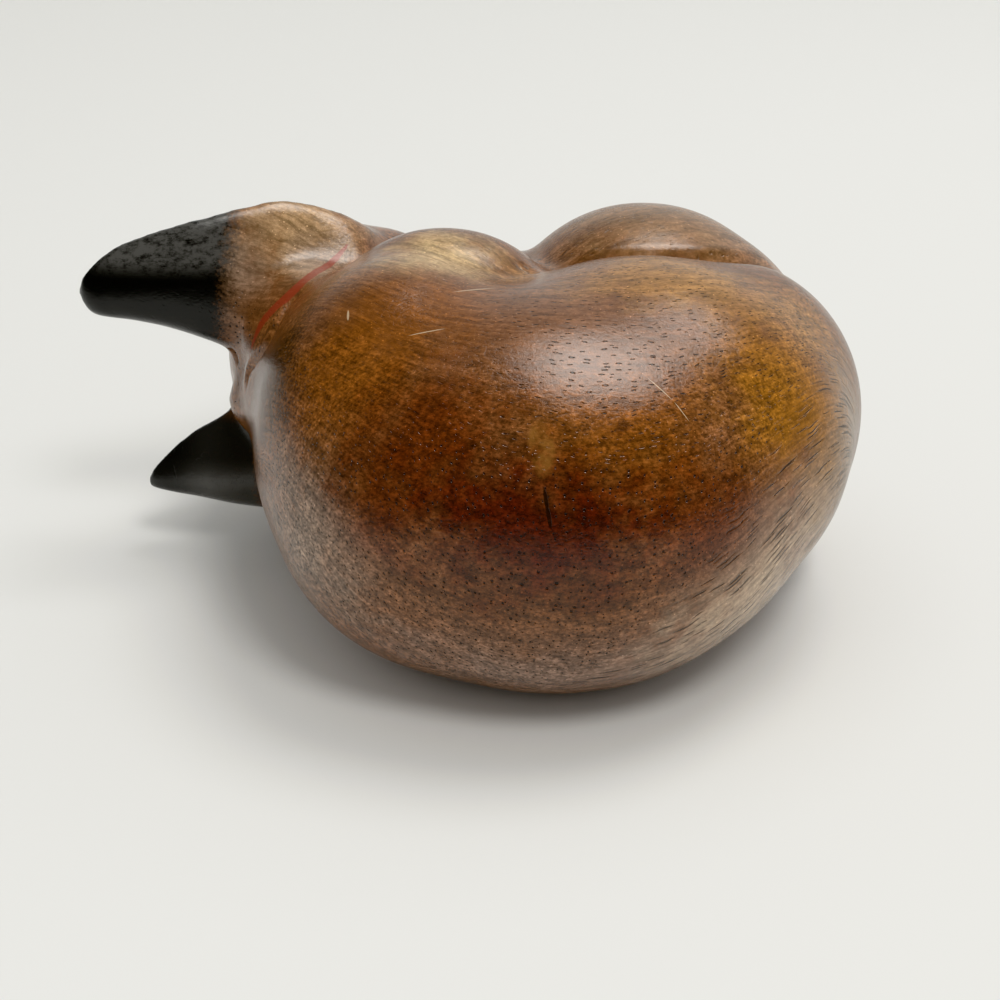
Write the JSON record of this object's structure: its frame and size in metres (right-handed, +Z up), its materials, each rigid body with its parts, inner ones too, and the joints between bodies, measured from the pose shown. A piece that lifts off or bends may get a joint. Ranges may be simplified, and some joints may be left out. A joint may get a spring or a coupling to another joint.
{
  "type": "wooden cat figure",
  "caption": "Hand-carved sleeping cat ornament in varnished hardwood, curled on its side with black ears and a red collar line, resting on a sanded flat underside.",
  "frame": {"origin": "on the flat sanded underside, below the middle of the back", "axes": "+X from the ears to the rump, +Y from the spine to the belly and face, +Z up"},
  "size_m": [0.0951, 0.0771, 0.0463],
  "materials": {
    "varnished_wood": "open-pored red-brown hardwood with a satin to semi-gloss varnish, black sprayed ears and a thin red painted collar line"
  },
  "bodies": {
    "root": {"carved_cat": "varnished_wood"}
  },
  "joints": []
}
